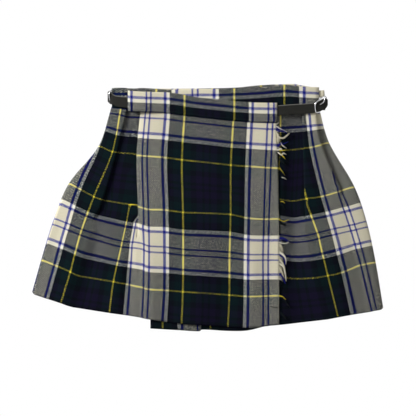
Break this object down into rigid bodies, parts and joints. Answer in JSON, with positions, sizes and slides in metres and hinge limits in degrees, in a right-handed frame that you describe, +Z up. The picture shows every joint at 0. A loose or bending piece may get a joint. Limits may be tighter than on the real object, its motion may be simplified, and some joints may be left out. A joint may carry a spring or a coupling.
{
  "type": "child's wrap kilt skirt, laid flat",
  "caption": "A child's tartan wool wrap kilt with a fringed over apron, leather straps and chrome buckles, laid flat.",
  "frame": {"origin": "middle of the garment's outline, on the surface that it lies on", "axes": "+X to the viewer's right across the hem, +Y towards the waist, +Z up out of the surface"},
  "size_m": [0.422, 0.2972, 0.0118],
  "materials": {
    "tartan_wool": "matte",
    "fringe_wool": "matte",
    "strap_leather": "satin",
    "buckle_chrome": "polished"
  },
  "bodies": {
    "root": {"over_apron_and_left_side": "tartan_wool", "right_side": "tartan_wool", "under_apron": "tartan_wool", "back_pleats": "tartan_wool", "waistband_over_apron": "tartan_wool", "waistband_under_apron": "tartan_wool", "waistband_back": "tartan_wool", "waistband_left_hip": "tartan_wool", "fringe": "fringe_wool", "strap_right": "strap_leather", "strap_left": "strap_leather", "buckle_loop_right": "strap_leather", "buckle_loop_left": "strap_leather", "buckle_right": "buckle_chrome", "buckle_left": "buckle_chrome", "prong_right": "buckle_chrome", "prong_left": "buckle_chrome"}
  },
  "joints": []
}
